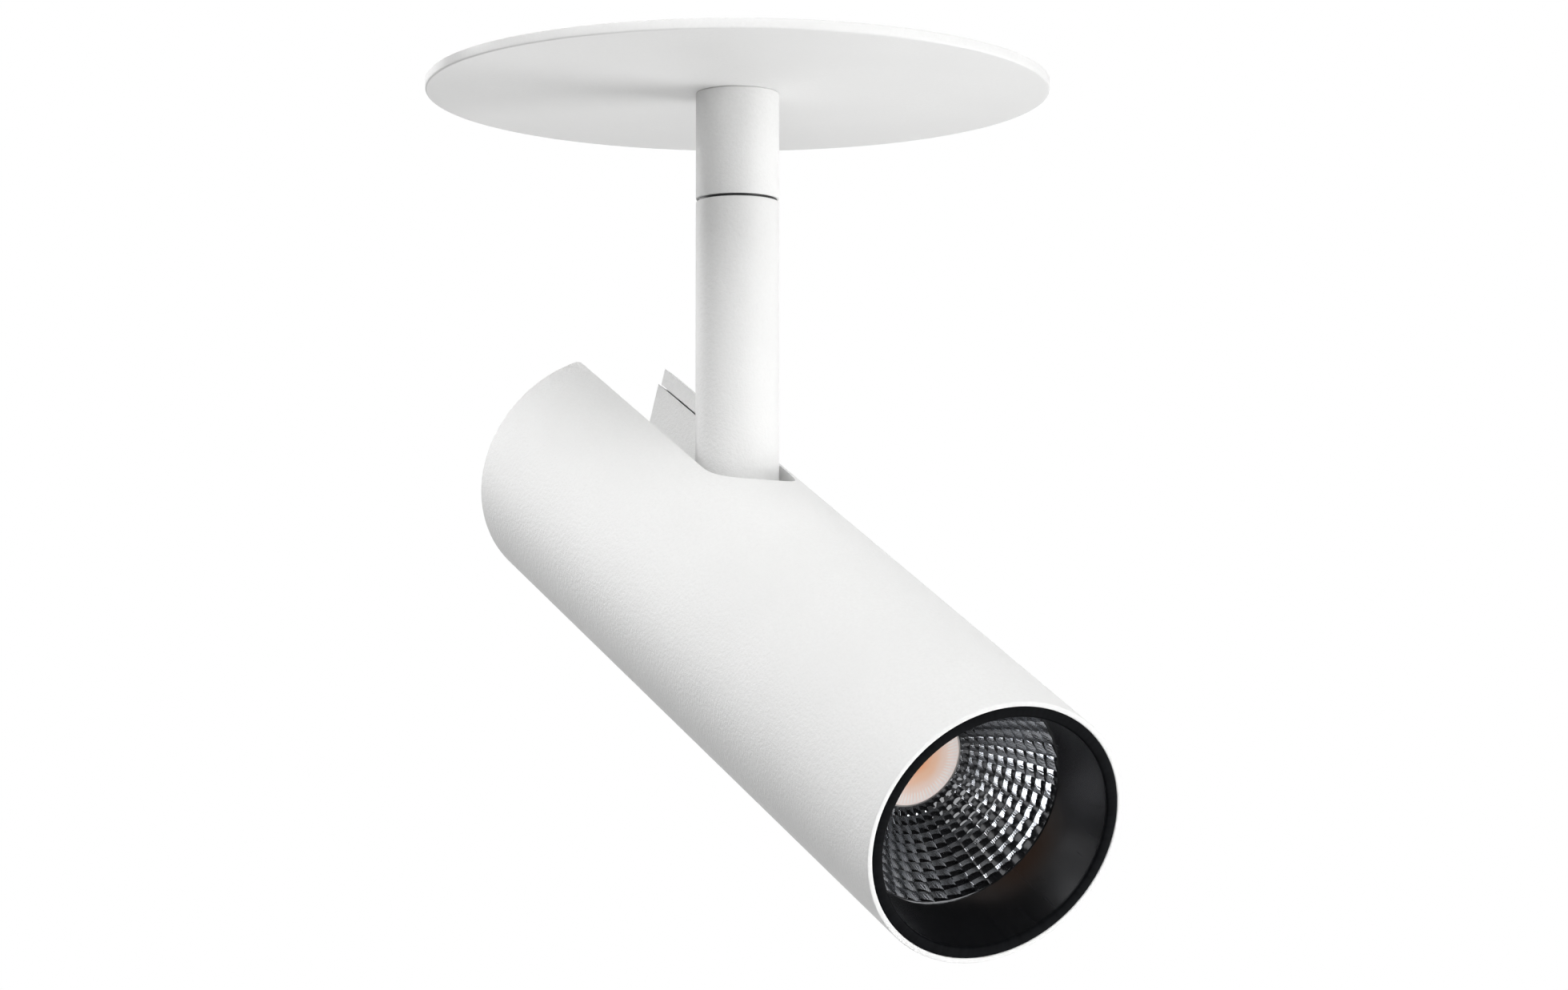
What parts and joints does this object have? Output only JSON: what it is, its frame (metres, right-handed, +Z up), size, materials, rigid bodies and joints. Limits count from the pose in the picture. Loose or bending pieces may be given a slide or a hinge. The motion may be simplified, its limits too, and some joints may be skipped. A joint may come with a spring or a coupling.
{
  "type": "recessed ceiling spotlight",
  "caption": "Adjustable ceiling spotlight: flat round plate, swivelling stem and a slotted cylindrical head that tilts and folds round the stem, with a black baffle and faceted reflector.",
  "frame": {"origin": "centre of the ceiling plate's top face, where it meets the ceiling", "axes": "+Z up into the ceiling, along the stem; the head points along -Y and dips at rest; its hinge runs along X"},
  "size_m": [0.1618, 0.1747, 0.1988],
  "materials": {
    "white_coat": "matt white powder coat, fine grain",
    "white_aluminium": "matt white powder coat on aluminium, fine grain",
    "black_coat": "satin black coat on aluminium",
    "black_plastic": "matt",
    "steel": "bright zinc",
    "can_steel": "galvanised sheet",
    "brass": "plain",
    "white_plastic": "matt",
    "nylon": "natural",
    "rubber": "matt black",
    "lead_sheath": "smooth",
    "aluminium": "extruded, plain",
    "pad_grey": "matt",
    "board_white": "white solder mask",
    "phosphor": "warm phosphor, lit",
    "mirror_metal": "vapour-metalised, faceted"
  },
  "bodies": {
    "ceiling_mount": {"ceiling_plate": "white_coat", "stem_neck": "white_aluminium", "neck_washer": "steel", "neck_nut": "steel", "pan_stop_screw": "steel", "swivel_washer": "black_plastic", "mounting_can": "can_steel", "can_nuts": "steel", "can_lid": "can_steel", "lid_screws": "steel", "inlet_grommet": "rubber", "terminal_block": "white_plastic", "terminal_screws": "brass", "cord_saddle": "white_plastic", "saddle_screws": "steel", "can_lead": "lead_sheath", "arm_pins": "steel"},
    "stem": {"swivel_spindle": "steel", "spindle_washer": "steel", "spindle_spring": "steel", "spindle_nut": "steel", "stem_tube": "white_aluminium", "stem_knuckle": "white_aluminium", "stem_lead": "lead_sheath"},
    "head": {"head_housing": "white_aluminium", "slot_liner": "white_aluminium", "lead_grommet": "rubber", "hinge_pin": "steel", "hinge_nut": "steel", "friction_washers": "nylon", "hinge_springs": "steel", "rear_cap": "white_aluminium", "heat_sink": "aluminium", "heat_sink_screws": "steel", "housing_set_screws": "steel", "thermal_pad": "pad_grey", "led_board": "board_white", "led_emitter": "phosphor", "led_holder": "white_plastic", "led_holder_screws": "steel", "reflector": "mirror_metal", "front_baffle": "black_coat", "baffle_ring": "rubber", "head_lead": "lead_sheath"},
    "left_arm": {"spring_arm_left": "steel", "arm_pad_left": "rubber", "arm_spring_left": "steel"},
    "right_arm": {"spring_arm_right": "steel", "arm_pad_right": "rubber", "arm_spring_right": "steel"}
  },
  "joints": [
    {"name": "pan", "type": "hinge", "parent": "ceiling_mount", "child": "stem", "pos_m": [0, 0, -0.0227], "axis": [0, 0, 1], "range_deg": [-165, 165]},
    {"name": "tilt", "type": "hinge", "parent": "stem", "child": "head", "pos_m": [0, 0, -0.0846], "axis": [1, 0, 0], "range_deg": [-27.6, 62.4]},
    {"name": "left_arm_fold", "type": "hinge", "parent": "ceiling_mount", "child": "left_arm", "pos_m": [-0.0455, 0, 0.0106], "axis": [0, 1, 0], "range_deg": [0, 90], "stiffness_Nm_per_rad": 0.12, "springref_deg": -45.84},
    {"name": "right_arm_fold", "type": "hinge", "parent": "ceiling_mount", "child": "right_arm", "pos_m": [0.0455, 0, 0.0106], "axis": [0, -1, 0], "range_deg": [0, 90], "stiffness_Nm_per_rad": 0.12, "springref_deg": -45.84}
  ]
}
